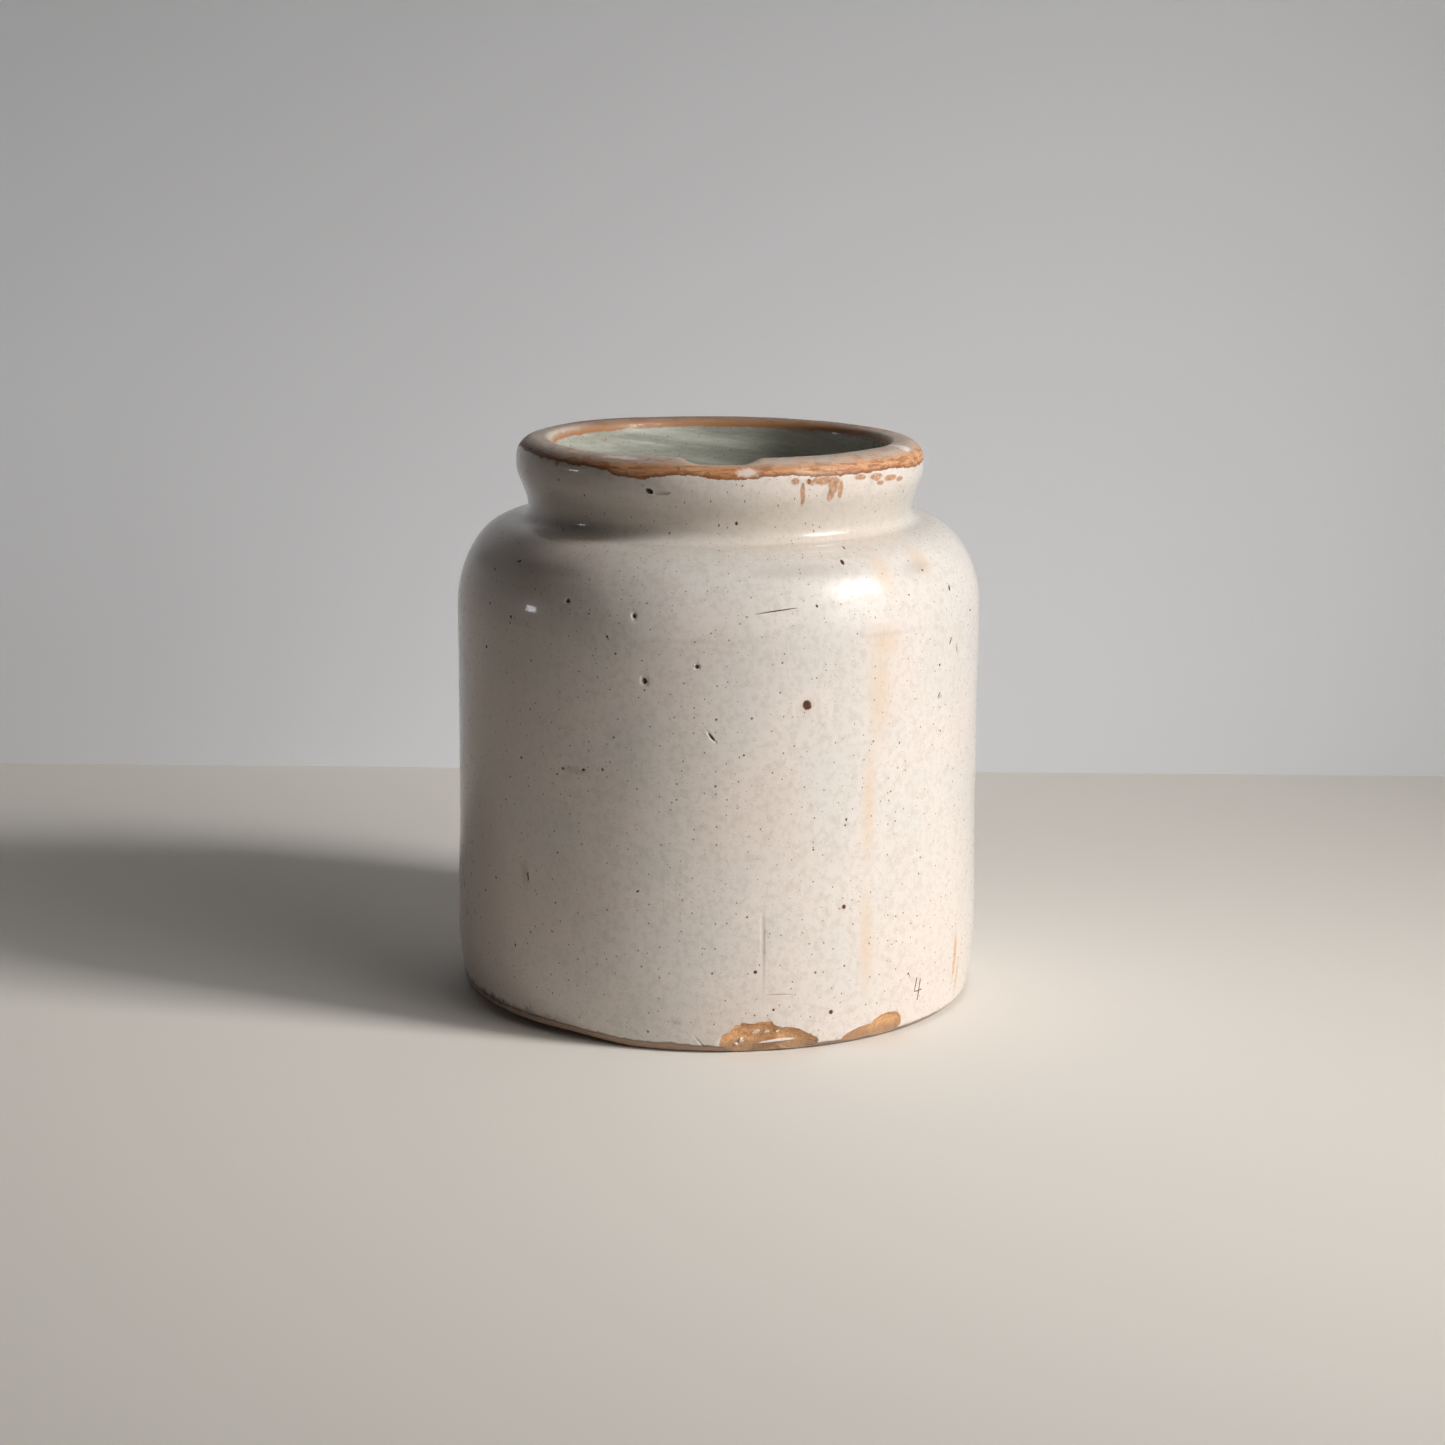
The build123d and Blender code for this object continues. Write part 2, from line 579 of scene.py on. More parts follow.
far_edge = recipe.math(
    "MULTIPLY",
    recipe.ease(recipe.math("ABSOLUTE", place["Angle"]), 95, 140),
    recipe.ease(place["Out"], mouth_radius + 1.5, mouth_radius + 5),
)
smoke = recipe.math("MAXIMUM", smoke, far_edge)
colour = recipe.blend(recipe.math("MULTIPLY", smoke, 0.75), colour, (0.30, 0.135, 0.07))
far_side = recipe.ease(recipe.math("ABSOLUTE", place["Angle"]), 95, 140, 0, 0.75)
colour = recipe.blend(far_side, colour, (0.20, 0.10, 0.055))
crest = recipe.ease(place["Up"], height_mm - 3.2, height_mm - 1.2)
crest = recipe.math("MULTIPLY", crest, recipe.ease(recipe.noise(place["Point"], 6, 3), 0.3, 0.55, 0.45, 1))
back = recipe.ease(recipe.math("ABSOLUTE", place["Angle"]), 95, 140)
crest = recipe.math("MULTIPLY", crest, recipe.ease(back, 0, 1, 1, 0.15))
colour = recipe.blend(recipe.math("MULTIPLY", crest, 0.85), colour, worn_grey)
soot = recipe.math("MULTIPLY", crest, recipe.ease(recipe.noise(place["Point"], 4, 4, 0.7), 0.55, 0.72))
colour = recipe.blend(recipe.math("MULTIPLY", soot, 0.55), colour, (0.14, 0.11, 0.09))
inner_rim = recipe.math(
    "MULTIPLY", recipe.ease(place["Out"], mouth_radius + 1.5, mouth_radius + 4.0, 1, 0), crest
)
colour = recipe.blend(recipe.math("MULTIPLY", inner_rim, 0.5), colour, (0.74, 0.68, 0.60))
base = recipe.ease(place["Up"], 6, 9, 1, 0)
colour = recipe.blend(recipe.math("MULTIPLY", base, 0.9), colour, (0.36, 0.26, 0.19))
recipe.feed(gives["Colour"], colour)
recipe.feed(gives["Roughness"], recipe.ease(mottle, 0.35, 0.7, 0.34, 0.62))
grain = recipe.math("MULTIPLY", recipe.noise(place["Point"], 0.8, 3, 0.6), 0.05)
ridges = recipe.math("MULTIPLY", streaks, 0.35)
recipe.feed(
    gives["Height"],
    recipe.math("ADD", recipe.math("ADD", grain, ridges), recipe.math("MULTIPLY", mottle, 0.12)),
)

# %% [markdown]
# ## The skin of a glaze
# Salt and feldspar glazes dry unevenly. They pucker a little, like orange peel, and keep the
# rings of the potter's fingers under them. This group gives that height, in millimetres, and the
# tiny iron specks that bleed through. Both glazes use it.

# %% The glaze group
recipe, takes, gives = new_group(
    "Glaze skin",
    [("Rings", "Float"), ("Peel", "Float")],
    [("Height", "Float"), ("Specks", "Float"), ("Peppering", "Float"), ("Cloud", "Float")],
)
place = use_group(recipe, "Place on the pot")
rings = recipe.noise(recipe.stretch(place["Point"], (0.12, 0.12, 1)), 5, 2, 0.5)
rings = recipe.math("MULTIPLY", recipe.math("MULTIPLY", rings, takes["Rings"]), 0.16)
peel = recipe.math(
    "ADD",
    recipe.noise(place["Point"], 6, 0),
    recipe.math("MULTIPLY", recipe.noise(place["Point"], 1.8, 0), 0.05),
)
peel = recipe.math("MULTIPLY", recipe.math("MULTIPLY", peel, takes["Peel"]), 0.045)
specks = all_of(
    recipe,
    [
        recipe.dots(place["Flat"], 12.5, 0.3, 1.15, 2.4),
        recipe.dots(recipe.stretch(place["Flat"], (1.13, 0.93, 1)), 4.6, 0.2, 0.8, 2.2),
    ],
)
peppering = recipe.dots(recipe.stretch(place["Flat"], (0.9, 1.2, 1)), 1.9, 0.1, 0.42, 1.6)
peppering = recipe.math(
    "MULTIPLY", peppering, recipe.ease(recipe.noise(place["Point"], 16, 2), 0.4, 0.65, 0.15, 1)
)
recipe.feed(gives["Height"], recipe.math("ADD", rings, peel))
recipe.feed(gives["Specks"], specks)
recipe.feed(gives["Peppering"], peppering)
recipe.feed(gives["Cloud"], recipe.noise(place["Point"], 34, 4, 0.55))

# %% [markdown]
# ## The cream glaze and its history
# The outside is one material, because its story is one: cream glaze, poured on, stopping in a
# wandering line below the bare rim and just above the foot, with rust that bled and ran, iron
# spots, rubbed dirt and faint stains. Each mark is a ragged patch at its own place. A row of
# places gives angle, height, half width and half height.

# %% Where glaze stops
def surface_parts(name):
    material = new_material(name)
    recipe = Recipe(material.node_tree)
    shader = material.node_tree.nodes["Principled BSDF"]
    return material, recipe, shader


def finish_surface(recipe, shader, colour, roughness, height):
    recipe.feed(shader.inputs["Base Color"], colour)
    recipe.feed(shader.inputs["Roughness"], roughness)
    bump = recipe.add("Bump")
    bump.inputs["Distance"].default_value = MM
    recipe.feed(bump.inputs["Height"], height)
    recipe.feed(shader.inputs["Normal"], bump.outputs["Normal"])


cream_glaze, recipe, shader = surface_parts("cream glaze")
place = use_group(recipe, "Place on the pot")
skin = use_group(recipe, "Glaze skin", rings=1.0, peel=1.0)
bare = use_group(recipe, "Bare clay")

rim_line = recipe.add("FloatCurve")
rim_heights = (
    (-180, 211.0), (-110, 212.0), (-80, 213.8), (-55, 212.8), (-34, 212.0), (-22, 209.6), (-10, 211.6),
    (2, 210.2), (16, 211.2), (34, 210.4), (54, 210.8), (72, 209.2), (110, 211.5), (180, 211.0),
)
line_low, line_high = 205.0, 217.0
curve = rim_line.mapping.curves[0]
for number, (around, level) in enumerate(rim_heights):
    share = ((around + 180) / 360, (level - line_low) / (line_high - line_low))
    if number < 1:
        curve.points[0].location = share
    elif number == len(rim_heights) - 1:
        curve.points[-1].location = share
    else:
        curve.points.new(*share)
rim_line.mapping.update()
recipe.feed(rim_line.inputs["Value"], recipe.ease(place["Angle"], -180, 180, shape="LINEAR"))
rim_level = recipe.ease(rim_line.outputs[0], 0, 1, line_low, line_high, shape="LINEAR")
fray = recipe.math("SUBTRACT", recipe.noise(place["Point"], 4.5, 5, 0.62), 0.5)
rim_level = recipe.math("ADD", rim_level, recipe.math("MULTIPLY", fray, 3.2))
below_rim = recipe.math("SUBTRACT", rim_level, place["Up"])
foot_start = recipe.math(
    "SUBTRACT",
    recipe.ease(place["Angle"], -12, 12, 3.2, 1.4),
    recipe.ease(place["Angle"], -175, -110, 1.8, 0),
)
lifted = recipe.math(
    "MULTIPLY",
    recipe.ease(place["Angle"], -96, -74),
    recipe.ease(place["Angle"], -38, -16, foot_lift, 0),
)
foot_start = recipe.math("ADD", foot_start, lifted)
foot_level = recipe.math("ADD", recipe.math("MULTIPLY", fray, 2.0), foot_start)
above_rest = recipe.math("SUBTRACT", place["Up"], foot_level)
glazed = recipe.math("MULTIPLY", recipe.ease(below_rim, -0.15, 0.25), recipe.ease(above_rest, -0.2, 0.3))

# %% Rust that ran down from the rim
runs = [
    (32.0, 207.6, 4.6, 3.8), (31.4, 204.4, 2.8, 3.6), (34.4, 205.0, 1.6, 4.2), (28.5, 209.0, 11.0, 1.9),
    (22.6, 206.0, 1.4, 4.0), (23.0, 202.0, 1.4, 3.2), (20.5, 209.2, 3.4, 1.6), (47.0, 208.6, 6.0, 1.7),
    (53.5, 207.4, 6.0, 1.4), (58.5, 206.4, 4.0, 1.1), (49.0, 206.2, 3.2, 1.1), (41.0, 209.2, 5.0, 1.3),
    (-51.0, 212.0, 2.6, 1.4), (-22.0, 210.4, 3.0, 1.5), (-140, 209.0, 2.4, 3.0), (150, 208.0, 1.8, 4.0),
]
rust = all_of(recipe, [patch(recipe, *spot, soft=0.45, ragged=1.5) for spot in runs])
speckled_edge = recipe.noise(place["Point"], 1.1, 3, 0.7)
rust = recipe.math("MULTIPLY", rust, recipe.ease(speckled_edge, 0.34, 0.5, 0.55, 1))

# %% Stains, rubbed dirt and faint seams
streak_rows = ((64.5, 22, 2.2, 15), (67, 13, 1.6, 9))
stain_rows = (
    (39, 176, 7, 10), (36.5, 152, 10, 9), (35.5, 132, 8, 26), (33.5, 92, 5, 34), (33, 40, 4.5, 30),
    (52, 178, 8, 7), *streak_rows, (-128, 120, 8, 60), (168, 150, 9, 40),
)
stain = all_of(recipe, [patch(recipe, *row, soft=0.95, ragged=0.9) for row in stain_rows])
streak = all_of(recipe, [patch(recipe, *row, soft=0.8, ragged=1.2) for row in streak_rows])
grime_rows = (
    (-66, 174, 22, 6), (-40, 176, 26, 4), (20, 178.5, 30, 3.5), (50, 176.0, 14, 4.0), (-31, 104, 9, 2.2),
    (-45, 61, 3, 7), (-8, 12, 3.0, 1.5), (10, 40, 0.9, 26), (12.8, 23, 6.5, 0.9), (12.4, 165.6, 10, 0.35),
)
grime = all_of(recipe, [patch(recipe, *row, soft=0.9, ragged=0.7) for row in grime_rows])
turning_line = recipe.ease(
    recipe.math("ABSOLUTE", recipe.math("SUBTRACT", place["Up"], shoulder_foot + 3.5)),
    0.2,
    1.6,
    1,
    0,
)
turning_line = recipe.math("MULTIPLY", turning_line, recipe.ease(skin["Cloud"], 0.42, 0.6))

# %% Iron spots
# Each row: angle, height and radius. The first three are big enough to have a rusty halo.
haloed = 3
iron_rows = (
    (18.5, 131, 2.1), (27.5, 54, 1.0), (25, 14, 1.0), (8.2, 32, 0.8), (45.2, 23, 0.6), (12.2, 17, 0.6),
    (4.8, 193.8, 0.85), (-49.8, 206, 0.6), (-40.2, 201.5, 0.6), (-50.5, 187, 0.6), (32.5, 184.8, 0.55),
    (24.5, 209, 1.2), (-33.5, 166.2, 0.9), (29.5, 180.6, 1.0), (-60, 172, 0.7), (-58, 160, 0.7),
    (100, 90, 1.4), (-150, 70, 1.2), (140, 160, 1.1), (-104, 44, 0.8),
)
iron = all_of(
    recipe,
    [patch(recipe, around, level, size, size, soft=0.35, ragged=0.7) for around, level, size in iron_rows],
)
halo = all_of(
    recipe,
    [
        patch(recipe, around, level, size * 1.9, size * 1.9, soft=0.8, ragged=0.7)
        for around, level, size in iron_rows[:haloed]
    ],
)

# %% Build the cream glaze
cream = (0.765, 0.690, 0.640)
cool_cream = (0.705, 0.665, 0.620)
warm_cream = (0.760, 0.655, 0.585)
rust_colour = (0.48, 0.215, 0.075)
colour = recipe.blend(recipe.ease(skin["Cloud"], 0.35, 0.65), cool_cream, cream)
colour = recipe.blend(
    recipe.ease(recipe.noise(place["Point"], 60, 2), 0.45, 0.7, 0, 0.6), colour, warm_cream
)
# Painted shade: the left side of the body, turned away from the light, is darkened to a warm brown in its
# colour.
painted_left_shade = recipe.math(
    "SUBTRACT",
    recipe.ease(place["Angle"], -75, -10, 1, 0),
    recipe.ease(place["Angle"], -175, -130, 1, 0),
)
colour = recipe.blend(recipe.math("MULTIPLY", painted_left_shade, 0.6), colour, (0.42, 0.315, 0.25))
# Painted shade: the far left of the body, towards its edge as seen from the front, is darkened still more.
painted_far_left_shade = recipe.math(
    "SUBTRACT",
    recipe.ease(place["Angle"], -88, -50, 0.45, 0),
    recipe.ease(place["Angle"], -150, -110, 0.45, 0),
)
colour = recipe.blend(painted_far_left_shade, colour, (0.30, 0.215, 0.165))
mottle = recipe.noise(place["Point"], 3.0, 5, 0.7)
colour = recipe.blend(recipe.ease(mottle, 0.38, 0.70, 0, 0.42), colour, (0.50, 0.43, 0.36))
neck_shade = recipe.ease(
    recipe.math("ABSOLUTE", recipe.math("SUBTRACT", place["Up"], neck_foot + 8)), 2, 16, 0.40, 0
)
colour = recipe.blend(neck_shade, colour, (0.50, 0.45, 0.36))
# Painted shade: the neck and the top of the shoulder on the left are darkened in their colour.
painted_neck_shade = recipe.math(
    "MULTIPLY", painted_left_shade, recipe.ease(place["Up"], shoulder_foot + 8, neck_foot + 4, 0, 0.4)
)
colour = recipe.blend(painted_neck_shade, colour, (0.27, 0.20, 0.155))
colour = recipe.blend(recipe.math("MULTIPLY", stain, 0.42), colour, (0.72, 0.50, 0.31))
colour = recipe.blend(recipe.math("MULTIPLY", streak, 0.75), colour, (0.60, 0.34, 0.15))
colour = recipe.blend(recipe.math("MULTIPLY", grime, 0.30), colour, (0.26, 0.22, 0.18))
colour = recipe.blend(recipe.math("MULTIPLY", turning_line, 0.10), colour, (0.30, 0.25, 0.20))
colour = recipe.blend(recipe.math("MULTIPLY", skin["Peppering"], 0.8), colour, (0.22, 0.165, 0.125))
colour = recipe.blend(recipe.math("MULTIPLY", skin["Specks"], 0.85), colour, (0.085, 0.055, 0.04))
colour = recipe.blend(recipe.math("MULTIPLY", halo, 0.35), colour, (0.62, 0.42, 0.28))
colour = recipe.blend(iron, colour, (0.085, 0.028, 0.018))
rust_shade = recipe.blend(recipe.ease(mottle, 0.44, 0.64), rust_colour, (0.24, 0.09, 0.032))
colour = recipe.blend(recipe.math("MULTIPLY", rust, 0.85), colour, rust_shade)
foot_crust = recipe.ease(above_rest, 0.35, 1.2, 1, 0)
smoked_foot = recipe.math(
    "SUBTRACT",
    recipe.ease(place["Angle"], -62, -20, 1, 0),
    recipe.ease(place["Angle"], -150, -110, 1, 0),
)
colour = recipe.blend(recipe.math("MULTIPLY", foot_crust, 0.85), colour, (0.15, 0.07, 0.035))
crust_reach = recipe.ease(recipe.math("ADD", above_rest, recipe.math("MULTIPLY", fray, 9)), 0.5, 3.4, 1, 0)
colour = recipe.blend(
    recipe.math("MULTIPLY", recipe.math("MULTIPLY", crust_reach, smoked_foot), 0.9),
    colour,
    (0.05, 0.03, 0.02),
)
rim_edge = recipe.math(
    "MULTIPLY", recipe.ease(below_rim, -1.8, -0.3), recipe.ease(below_rim, 0.1, 0.6, 1, 0)
)
clay_colour = recipe.blend(recipe.math("MULTIPLY", rim_edge, 0.75), bare["Colour"], (0.19, 0.075, 0.03))
# Three pale patches painted on the bare rim.
pale_rim_patches = all_of(
    recipe,
    [
        patch(recipe, *row, soft=0.7, ragged=1.8)
        for row in ((7.5, 212.8, 7.5, 2.0), (70, 216.4, 7, 2.2), (-30, 216.2, 14, 0.6))
    ],
)
clay_colour = recipe.blend(recipe.math("MULTIPLY", pale_rim_patches, 0.7), clay_colour, (0.80, 0.74, 0.70))
colour = recipe.blend(glazed, clay_colour, colour)
glaze_rough = recipe.ease(mottle, 0.3, 0.8, 0.26, 0.40)
glaze_rough = recipe.math(
    "ADD", glaze_rough, recipe.math("MULTIPLY", recipe.math("MAXIMUM", grime, rust), 0.2)
)
roughness = recipe.add("Mix", data_type="FLOAT")
recipe.feed(roughness.inputs["Factor"], glazed)
recipe.feed(roughness.inputs[2], bare["Roughness"])
recipe.feed(roughness.inputs[3], glaze_rough)
thickness = recipe.math("MULTIPLY", glazed, 0.28)
relief = skin["Height"]
relief = recipe.math("SUBTRACT", relief, recipe.math("MULTIPLY", turning_line, 0.05))
height_mix = recipe.add("Mix", data_type="FLOAT")
recipe.feed(height_mix.inputs["Factor"], glazed)
recipe.feed(height_mix.inputs[2], bare["Height"])
recipe.feed(height_mix.inputs[3], relief)
finish_surface(
    recipe,
    shader,
    colour,
    roughness.outputs[0],
    recipe.math("ADD", height_mix.outputs[0], thickness),
)
recipe.feed(shader.inputs["Coat Weight"], recipe.math("MULTIPLY", glazed, 0.65))
shader.inputs["Coat Roughness"].default_value = 0.06
shader.inputs["Specular IOR Level"].default_value = 0.3
print("nodes in the cream glaze:", len(cream_glaze.node_tree.nodes))

# %% [markdown]
# ## The inside
# Inside, the slip glaze came out a greyish green. The potter's fingers left it streaked in long
# rings, thin on the ridges and thick in the hollows between them. Below the bare rim it starts
# in a soft line, with a little orange where the clay shows through.

# %% Build the inside glaze
inside_glaze, recipe, shader = surface_parts("grey-green glaze")
place = use_group(recipe, "Place on the pot")
skin = use_group(recipe, "Glaze skin", rings=3.0, peel=1.2)
bare = use_group(recipe, "Bare clay")
tilted = recipe.add("Mapping")
recipe.feed(tilted.inputs["Vector"], place["Point"])
tilted.inputs["Rotation"].default_value = (math.radians(5), math.radians(-6), 0)
bands = recipe.noise(recipe.stretch(tilted.outputs["Vector"], (0.10, 0.10, 1)), 7, 4, 0.6)
colour = recipe.blend(recipe.ease(bands, 0.40, 0.62), (0.53, 0.545, 0.47), (0.33, 0.335, 0.285))
colour = recipe.blend(recipe.ease(skin["Cloud"], 0.5, 0.7, 0, 0.5), colour, (0.40, 0.36, 0.28))
wear = recipe.noise(recipe.stretch(place["Point"], (1, 1, 4)), 5, 4, 0.7)
colour = recipe.blend(recipe.ease(wear, 0.55, 0.75, 0, 0.4), colour, (0.24, 0.22, 0.18))
wall_specks = recipe.math(
    "MULTIPLY",
    skin["Specks"],
    recipe.ease(place["Up"], floor_thickness + 8, floor_thickness + floor_fillet),
)
colour = recipe.blend(recipe.math("MULTIPLY", wall_specks, 0.8), colour, (0.07, 0.055, 0.045))
# Painted shade: the right of the inside, which the light from the right cannot reach, is darkened in its
# colour.
parts = recipe.add("SeparateXYZ")
recipe.feed(parts.inputs[0], place["Point"])
painted_right_shade = recipe.ease(parts.outputs["X"], 0.0, 0.6 * mouth_radius * MM)
colour = recipe.blend(recipe.math("MULTIPLY", painted_right_shade, 0.5), colour, (0.17, 0.145, 0.12))
ring_fray = recipe.math("SUBTRACT", recipe.noise(place["Point"], 5, 4, 0.6), 0.5)
start = recipe.math("ADD", height_mm - 3.4, recipe.math("MULTIPLY", ring_fray, 2.0))
below_start = recipe.math("SUBTRACT", start, place["Up"])
glazed = recipe.ease(below_start, -0.3, 0.5)
throat_edge = recipe.math(
    "MULTIPLY", recipe.ease(below_start, -2.8, -1.4), recipe.ease(below_start, 0.0, 0.8, 1, 0)
)
clay_colour = recipe.blend(recipe.math("MULTIPLY", throat_edge, 0.7), bare["Colour"], (0.42, 0.19, 0.075))
colour = recipe.blend(glazed, clay_colour, colour)
roughness = recipe.add("Mix", data_type="FLOAT")
recipe.feed(roughness.inputs["Factor"], glazed)
recipe.feed(roughness.inputs[2], bare["Roughness"])
recipe.feed(roughness.inputs[3], recipe.ease(wear, 0.3, 0.7, 0.16, 0.40))
finish_surface(recipe, shader, colour, roughness.outputs[0], skin["Height"])
recipe.feed(shader.inputs["Coat Weight"], recipe.math("MULTIPLY", glazed, 0.4))
shader.inputs["Coat Roughness"].default_value = 0.08

# %% [markdown]
# ## The base and the breaks
# The base was wiped free of glaze, or it would have stuck to the kiln shelf. It is plain clay
# with ash and grit on it. A fresh break is rougher and paler, with coarse grains.

# %% Build the clay materials
base_clay, recipe, shader = surface_parts("bare clay")
place = use_group(recipe, "Place on the pot")
bare = use_group(recipe, "Bare clay")
colour = recipe.blend(
    recipe.ease(recipe.noise(place["Point"], 18, 5, 0.65), 0.4, 0.65, 0, 0.7),
    bare["Colour"],
    (0.30, 0.22, 0.16),
)
ring = recipe.ease(
    recipe.math("ABSOLUTE", recipe.math("SUBTRACT", place["Out"], body_radius - 12)), 1, 9, 0.5, 0
)
colour = recipe.blend(ring, colour, (0.62, 0.52, 0.40))
finish_surface(recipe, shader, colour, 0.8, bare["Height"])

broken_clay, recipe, shader = surface_parts("broken clay")
place = use_group(recipe, "Place on the pot")
grit = recipe.noise(place["Point"], 1.3, 4, 0.7)
colour = recipe.blend(recipe.ease(grit, 0.35, 0.65), (0.74, 0.42, 0.21), (0.60, 0.30, 0.13))
colour = recipe.blend(
    recipe.ease(recipe.noise(place["Point"], 5, 3), 0.5, 0.7, 0, 0.6), colour, (0.36, 0.20, 0.11)
)
colour = recipe.blend(recipe.ease(place["Up"], 2.0, 6.5, 0.75, 0), colour, (0.30, 0.19, 0.12))
finish_surface(
    recipe,
    shader,
    colour,
    recipe.ease(grit, 0.3, 0.7, 0.45, 0.75),
    recipe.math("MULTIPLY", grit, 0.5),
)

pit_clay, recipe, shader = surface_parts("pit")
place = use_group(recipe, "Place on the pot")
grit = recipe.noise(place["Point"], 0.9, 3, 0.6)
colour = recipe.blend(recipe.ease(grit, 0.35, 0.65), (0.10, 0.065, 0.045), (0.30, 0.22, 0.16))
finish_surface(recipe, shader, colour, 0.5, recipe.math("MULTIPLY", grit, 0.2))

# %% Lay the finishes on the pot
for finish in (cream_glaze, inside_glaze, base_clay):
    pot.data.materials.append(finish)
outside_slot, inside_slot, base_slot = range(3)
floor_line = floor_thickness - 2
flat_base_top = 0.4
rounded_base_top = 2.4
nearly_down = -0.95
throat_reach = mouth_radius + lip_inner_round
counts = [0, 0, 0]
for face in pot.data.polygons:
    middle = face.center / MM
    out = math.hypot(middle.x, middle.y)
    facing_in = face.normal.x * face.center.x + face.normal.y * face.center.y < 0
    slot = outside_slot
    if middle.z < flat_base_top or (middle.z < rounded_base_top and face.normal.z < nearly_down):
        slot = base_slot
    elif middle.z > floor_line and (out < throat_reach or facing_in and middle.z < neck_foot):
        slot = inside_slot
    elif floor_line < middle.z < floor_thickness + floor_fillet and face.normal.z > 0.5:
        slot = inside_slot
    elif (
        floor_line < middle.z < neck_foot + 1
        and out < body_radius - wall_thickness / 2
        and face.normal.z < -0.2
    ):
        slot = inside_slot
    face.material_index = slot
    counts[slot] += 1
print("faces outside, inside, base:", counts)

# %% [markdown]
# ## Pits, nicks and chips
# Bubbles burst in the kiln and left pits. Knocks at the foot took flakes out of the glaze and the
# clay under it. These are true hollows, so they are cut out of the skin with a Boolean. A cutter
# is a ball, pushed out of round with a seeded Randomize, squashed, and laid flat on the skin at
# its place. Its own finish goes on the cut faces, so a break shows clay and a pit shows dirt.

# %% Cutters laid on the skin
def skin_at(angle, level):
    """The place on the outside of the pot at that angle and height, and which way it faces."""
    start = on_pot(angle, level, 1.5 * body_radius)
    inward = -Vector((start.x, start.y, 0)).normalized()
    place, normal = pot.ray_cast(start, inward)[1:3]
    return place, normal


def ball(
    angle,
    level,
    half_width,
    half_height,
    depth,
    finish,
    rough=0.0,
    tilt=0,
    raise_mm=0.0,
    detail=2,
    seed=1,
):
    place, normal = skin_at(angle, level)
    facing = normal.to_track_quat("Z", "Y").to_matrix().to_4x4()
    facing = facing @ Matrix.Rotation(math.radians(tilt), 4, "Z")
    bpy.ops.object.select_all(action="DESELECT")
    bpy.ops.mesh.primitive_ico_sphere_add(subdivisions=detail, radius=1)
    made = bpy.context.object
    if rough > 0:
        bpy.ops.object.mode_set(mode="EDIT")
        bpy.ops.mesh.select_all(action="SELECT")
        bpy.ops.transform.vertex_random(offset=rough, uniform=0.4, normal=0.6, seed=seed)
        bpy.ops.object.mode_set(mode="OBJECT")
    made.location = place + normal * raise_mm * MM
    made.rotation_euler = facing.to_euler()
    made.scale = Vector((half_width, half_height, depth)) * MM
    bpy.ops.object.transform_apply(location=True, rotation=True, scale=True)
    made.data.materials.append(finish)
    return made


def carve(cutters, way="DIFFERENCE"):
    """Cut these pieces out of the pot, or join them to it, in one go."""
    bpy.ops.object.select_all(action="DESELECT")
    for cutter in cutters:
        cutter.select_set(True)
    bpy.context.view_layer.objects.active = cutters[0]
    if len(cutters) > 1:
        bpy.ops.object.join()
    tool = bpy.context.object
    bpy.ops.object.select_all(action="DESELECT")
    pot.select_set(True)
    bpy.context.view_layer.objects.active = pot
    boolean = pot.modifiers.new("carve", "BOOLEAN")
    boolean.object = tool
    boolean.operation = way
    boolean.solver = "MANIFOLD"
    boolean.material_mode = "TRANSFER"
    bpy.ops.object.modifier_apply(modifier="carve")
    bpy.data.objects.remove(tool)
    return len(pot.data.polygons)


# %% Chips at the foot
carve([ball(8.8, 4.0, 16, 8.6, 2.7, broken_clay, rough=0.09, raise_mm=0.6, detail=4, seed=4)])
carve([ball(16.5, 3.6, 13, 5.6, 2.2, broken_clay, rough=0.08, tilt=-14, raise_mm=0.5, detail=4, seed=9)])
carve([ball(39.5, 4.0, 9.5, 5.6, 1.8, broken_clay, rough=0.03, tilt=8, raise_mm=0.4, detail=4, seed=2)])
print(
    "faces after the foot chips:",
    carve([ball(32.5, 3.4, 10, 2.8, 1.3, broken_clay, rough=0.03, tilt=14, raise_mm=0.3, detail=4)]),
)

# %% Crumbs of glaze left in the chip
crumbs = [
    ball(8.6, 8.4, 1.7, 1.2, 0.9, cream_glaze, rough=0.35, raise_mm=0.1, detail=1, seed=3),
    ball(11.2, 8.2, 1.5, 0.7, 0.7, cream_glaze, rough=0.35, raise_mm=0.0, detail=1, seed=5),
    ball(13.4, 8.3, 1.0, 0.6, 0.6, cream_glaze, rough=0.35, raise_mm=0.0, detail=1, seed=6),
    ball(5.6, 5.0, 0.9, 0.9, 0.9, cream_glaze, rough=0.35, raise_mm=0.1, detail=1, seed=7),
    ball(4.4, 3.6, 1.1, 0.6, 0.7, cream_glaze, rough=0.35, raise_mm=0.1, detail=1, seed=8),
    ball(13.8, 4.4, 8.5, 0.55, 0.7, cream_glaze, rough=0.08, raise_mm=0.1, detail=3, seed=10),
]
print("faces with crumbs:", carve(crumbs, "UNION"))

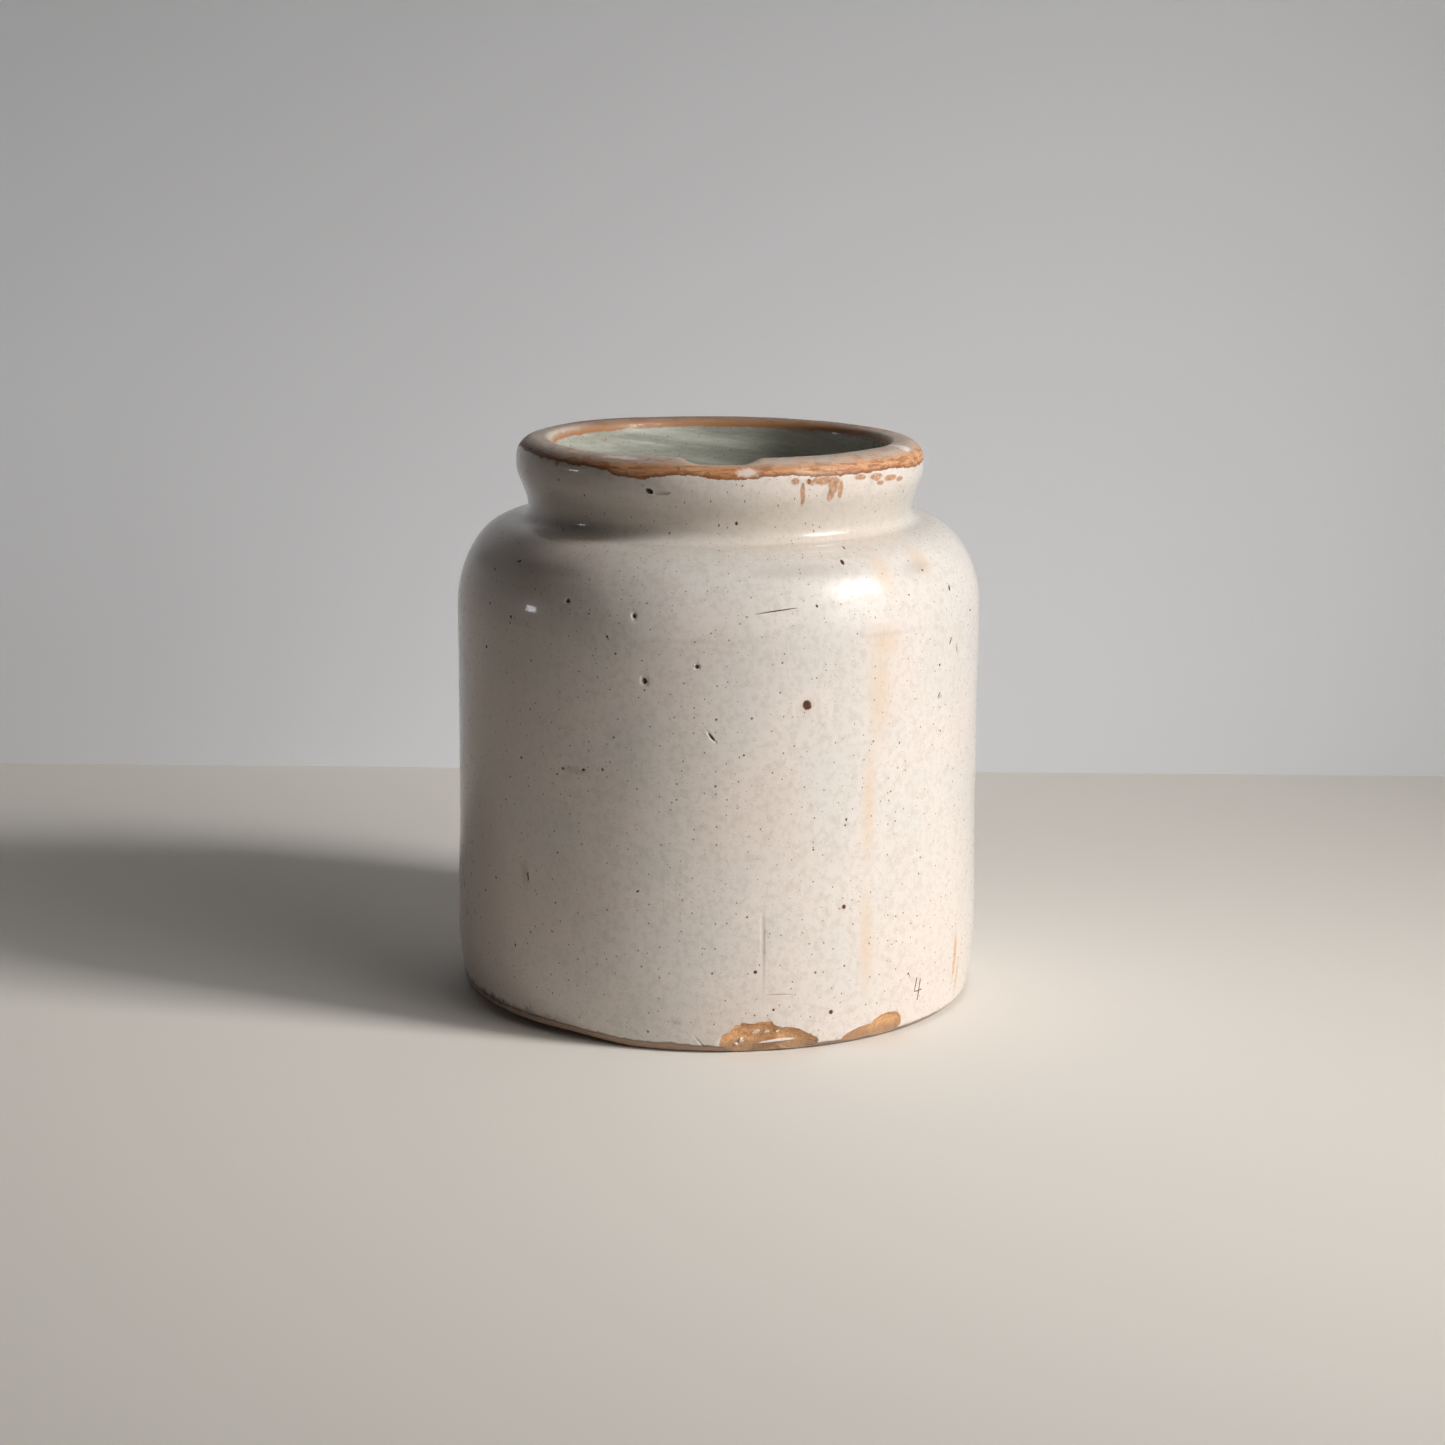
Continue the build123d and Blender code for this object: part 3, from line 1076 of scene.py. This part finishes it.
# %% Pits and nicks
# Each row: angle, height, half width, half height, depth, tilt. All but the two angles are in mm.
pit_rows = (
    (-19.0, 205.2, 1.6, 1.0, 1.8, -25), (-33.5, 166.0, 0.9, 0.7, 0.7, 0), (-17.5, 163.0, 0.7, 1.0, 0.7, 10),
    (-15.0, 139.8, 1.0, 1.3, 0.9, 20), (-4.2, 145.8, 0.8, 0.8, 0.7, 0), (-1.2, 120.0, 0.45, 2.0, 0.6, 38),
    (60.0, 166.5, 0.7, 1.1, 0.7, -20), (58.8, 147.0, 0.45, 1.5, 0.6, -25), (62.0, 143.0, 0.3, 1.6, 0.4, 20),
    (54.5, 139.0, 0.5, 0.5, 0.5, 0), (54.5, 127.5, 0.4, 1.3, 0.5, -35), (-29.0, 104.5, 0.7, 0.45, 0.5, 15),
    (-34.0, 104.0, 0.6, 0.4, 0.5, 0), (-24.5, 105.5, 0.45, 0.45, 0.45, 0), (-44.0, 60.0, 0.4, 1.6, 0.4, 12),
    (83.0, 38.0, 1.1, 1.5, 0.8, 0), (-52.0, 176.5, 0.9, 0.6, 0.5, 0), (130.0, 140.0, 1.1, 0.9, 0.8, 0),
    (-120.0, 96.0, 0.9, 1.2, 0.8, 30), (175.0, 60.0, 1.2, 0.9, 0.8, 0), (-165.0, 170.0, 0.9, 0.7, 0.7, 0),
)
# A burst bubble leaves a shallow dish of glaze round its pit, whose far edge catches the light.
dishes = [
    ball(
        angle,
        level,
        wide * 1.9,
        tall * 1.7,
        0.30,
        cream_glaze,
        rough=0.05,
        tilt=tilt,
        raise_mm=0.05,
        detail=3,
    )
    for angle, level, wide, tall, depth, tilt in pit_rows[1:]
]
print("faces with dishes:", carve(dishes))
pits = [
    ball(angle, level, wide, tall, depth, pit_clay, rough=0.12, tilt=tilt, seed=number + 1)
    for number, (angle, level, wide, tall, depth, tilt) in enumerate(pit_rows)
]
print("faces with pits:", carve(pits))

# %% Pinholes, strewn at random
strewn = random.Random(7)
number_and_chips = [(49, 15), (9, 5), (17, 5), (39, 5)]
taken = [(row[0], row[1]) for row in pit_rows] + number_and_chips
pinhole_count = 70
least_gap = 7
pinholes = []
while len(pinholes) < pinhole_count:
    angle, level = strewn.uniform(-175, 175), strewn.uniform(12, 176)
    size = 0.25 + 0.4 * strewn.random() ** 2
    turn = strewn.uniform(0, 180)
    near = [math.hypot((angle - there[0]) * mm_per_degree, level - there[1]) for there in taken]
    if min(near) > least_gap:
        taken.append((angle, level))
        pinholes.append(ball(angle, level, size, size * 1.3, size * 1.1, pit_clay, tilt=turn, detail=1))
print("faces with pinholes:", carve(pinholes))

# %% Shallow grooves under the glaze
grooves = [
    ball(-15.6, 204.7, 3.6, 0.85, 0.8, cream_glaze, rough=0.06, tilt=4, raise_mm=0.10, detail=3),
    ball(12.4, 165.7, 9.6, 0.22, 0.55, pit_clay, tilt=7, detail=4),
    ball(9.6, 45.0, 0.9, 21, 0.10, cream_glaze, rough=0.05, tilt=1, detail=4, seed=3),
    ball(-3.2, 4.5, 0.7, 3.6, 0.6, cream_glaze, rough=0.05, tilt=40, raise_mm=0.15, detail=3, seed=2),
]
print("faces with grooves:", carve(grooves))
print(
    "faces with one more groove:",
    carve([ball(13.4, 22.6, 5.2, 0.4, 0.4, cream_glaze, tilt=-2, detail=4)]),
)

# %% [markdown]
# ## The maker's number
# Potters scratched a size number into the soft clay near the foot. A plain 4 stands for it. Each
# stroke is a wire pulled from corner to corner over the skin, made a curve, given thickness and
# cut in as a groove.

# %% Scratch the number
number_angle = 49.0
number_foot = 10.8
groove_radius = 0.28
# Each stroke is a row of corners: mm to the right, and mm above the foot of the number.
strokes = (
    ((-1.3, 9.6), (-1.7, 7.0), (-2.2, 4.2), (0.0, 3.9), (2.3, 4.1)),
    ((0.9, 8.6), (0.7, 5.4), (0.5, 2.6), (0.2, 0.0)),
)
for stroke in strokes:
    corners = [
        skin_at(number_angle + across / mm_per_degree, number_foot + rise)[0]
        for across, rise in stroke
    ]
    bpy.ops.object.select_all(action="DESELECT")
    bpy.ops.mesh.primitive_plane_add(size=MM, location=(0, 0, 0))
    scratch = bpy.context.object
    bpy.ops.object.mode_set(mode="EDIT")
    bpy.ops.mesh.merge(type="CENTER")
    bpy.ops.transform.translate(value=corners[0])
    for corner, next_corner in zip(corners, corners[1:]):
        bpy.ops.mesh.extrude_vertices_move(TRANSFORM_OT_translate={"value": next_corner - corner})
    bpy.ops.object.mode_set(mode="OBJECT")
    bpy.ops.object.convert(target="CURVE")
    scratch.data.bevel_depth = groove_radius * MM
    scratch.data.bevel_resolution = 2
    scratch.data.use_fill_caps = True
    bpy.ops.object.convert(target="MESH")
    scratch.data.materials.clear()
    scratch.data.materials.append(pit_clay)
    bpy.ops.object.mode_set(mode="EDIT")
    bpy.ops.mesh.select_all(action="SELECT")
    bpy.ops.mesh.remove_doubles(threshold=0.005 * MM)
    bpy.ops.mesh.normals_make_consistent(inside=False)
    bpy.ops.object.mode_set(mode="OBJECT")
    print("faces with a stroke:", carve([scratch]))

# %% Finish
bpy.ops.object.shade_smooth_by_angle(angle=math.radians(35))
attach(pot, "root")
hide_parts("crock")
